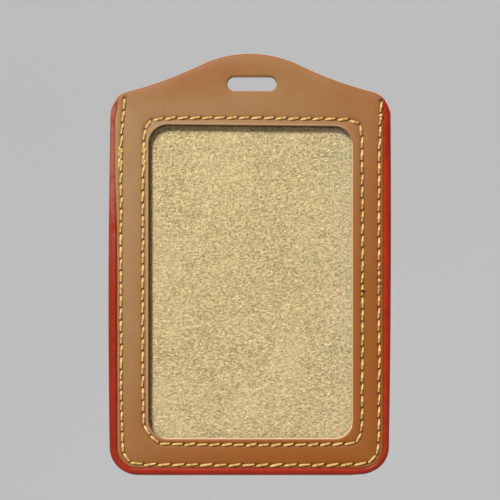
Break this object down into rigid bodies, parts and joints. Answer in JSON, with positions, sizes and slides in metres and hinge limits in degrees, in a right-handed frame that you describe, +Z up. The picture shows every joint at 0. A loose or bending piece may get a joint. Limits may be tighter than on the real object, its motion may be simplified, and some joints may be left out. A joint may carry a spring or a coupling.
{
  "type": "card holder",
  "caption": "Upright tan leather card holder with a clear window, gold suede lining, red painted edge, contrast stitching and a lanyard slot in a humped top.",
  "frame": {"origin": "centre of the lanyard slot, half way through the thickness", "axes": "+X across the width, +Y from the front to the back (the front faces -Y), +Z up to the hump"},
  "size_m": [0.07, 0.0041, 0.105],
  "materials": {
    "tan_leather": "smooth semi-matte leather with fine pores",
    "clear_film": "clear glossy film",
    "spacer_board": "plain bonded leather",
    "suede_lining": "short-nap gold-beige suede",
    "red_edge": "thick glossy edge paint",
    "thread": "waxed twisted thread"
  },
  "bodies": {
    "holder": {"front_panel": "tan_leather", "clear_window": "clear_film", "pocket_spacer": "spacer_board", "back_lining": "suede_lining", "back_panel": "tan_leather", "edge_paint": "red_edge", "outer_seam_thread": "thread", "outer_seam_bobbin_thread": "thread", "window_seam_thread": "thread", "window_seam_bobbin_thread": "thread"},
    "front_tab": {"front_tab": "tan_leather"}
  },
  "joints": [
    {"name": "mouth_flex", "type": "hinge", "parent": "holder", "child": "front_tab", "pos_m": [0, -0.0019, -0.0034], "axis": [1, 0, 0], "range_deg": [0, 32], "stiffness_Nm_per_rad": 0.02}
  ]
}
